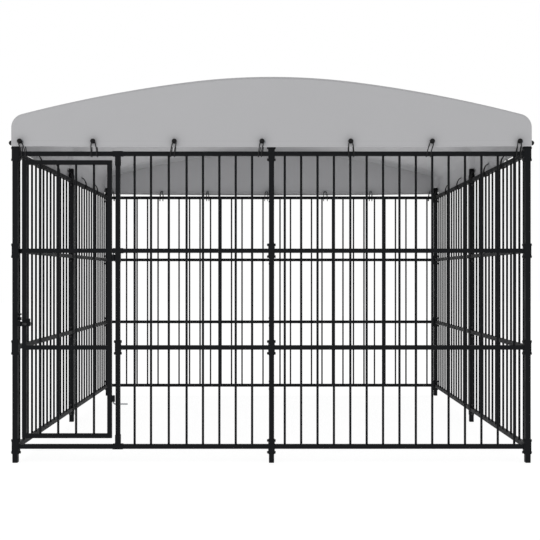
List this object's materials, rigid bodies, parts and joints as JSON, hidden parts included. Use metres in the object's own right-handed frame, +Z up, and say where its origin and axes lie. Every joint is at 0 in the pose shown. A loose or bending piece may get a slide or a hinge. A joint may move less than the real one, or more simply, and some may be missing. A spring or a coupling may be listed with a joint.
{
  "type": "outdoor dog kennel run",
  "caption": "Square outdoor dog run of black barred steel panels bolted to posts, with a hinged, bolted door and an arched grey cloth roof tied down by ball bungees.",
  "frame": {"origin": "centre of the footprint on the ground, under the feet", "axes": "+Z up; the front, with the door at its left end, faces -Y; +X to the right seen from the front"},
  "size_m": [3.0556, 3.0556, 2.222],
  "materials": {
    "black_steel": "satin powder coat",
    "zinc_steel": "bright zinc plating",
    "black_bolts": "black oxide",
    "black_plastic": "moulded, matte",
    "grey_cloth": "coated polyester, woven",
    "black_elastic": "braided elastic cord"
  },
  "bodies": {
    "run": {"post_front_left": "black_steel", "post_front_middle": "black_steel", "post_front_right": "black_steel", "post_left_middle": "black_steel", "post_right_middle": "black_steel", "post_rear_left": "black_steel", "post_rear_middle": "black_steel", "post_rear_right": "black_steel", "foot_front_left": "black_plastic", "foot_front_middle": "black_plastic", "foot_front_right": "black_plastic", "foot_left_middle": "black_plastic", "foot_right_middle": "black_plastic", "foot_rear_left": "black_plastic", "foot_rear_middle": "black_plastic", "foot_rear_right": "black_plastic", "post_caps": "black_plastic", "front_right_panel": "black_steel", "rear_left_panel": "black_steel", "rear_right_panel": "black_steel", "left_front_panel": "black_steel", "left_rear_panel": "black_steel", "right_front_panel": "black_steel", "right_rear_panel": "black_steel", "door_bay_top_rail": "black_steel", "door_bay_bottom_rail": "black_steel", "door_bay_grille": "black_steel", "door_post": "black_steel", "door_post_plate": "black_steel", "top_tee": "black_steel", "bottom_tee": "black_steel", "hinge_tee": "black_steel", "upper_hinge_pin": "zinc_steel", "lower_hinge_rod": "zinc_steel", "door_stop": "black_steel", "latch_keeper": "black_steel", "bracket_bolts": "black_bolts", "bracket_nuts": "black_bolts", "front_bow_left": "black_steel", "front_bow_right": "black_steel", "middle_bow_left": "black_steel", "middle_bow_right": "black_steel", "rear_bow_left": "black_steel", "rear_bow_right": "black_steel", "bow_spigots": "zinc_steel", "roof_sheet": "grey_cloth", "roof_front_end": "grey_cloth", "roof_rear_end": "grey_cloth", "grommets": "black_bolts", "bungee_balls": "black_plastic", "front_bungee_cords": "black_elastic", "rear_bungee_cords": "black_elastic", "left_bungee_cords": "black_elastic", "right_bungee_cords": "black_elastic"},
    "door": {"door_frame": "black_steel", "upper_hinge_barrel": "black_steel", "lower_hinge_barrel": "black_steel", "latch_guide": "black_steel"},
    "slide_bolt": {"latch_bolt": "black_bolts"}
  },
  "joints": [
    {"name": "door_swing", "type": "hinge", "parent": "run", "child": "door", "pos_m": [-0.9115, -1.483, 0.369], "axis": [0, 0, 1], "range_deg": [0, 95]},
    {"name": "bolt_slide", "type": "slide", "parent": "door", "child": "slide_bolt", "axis": [-1, 0, 0], "range_m": [0, 0.02]}
  ]
}
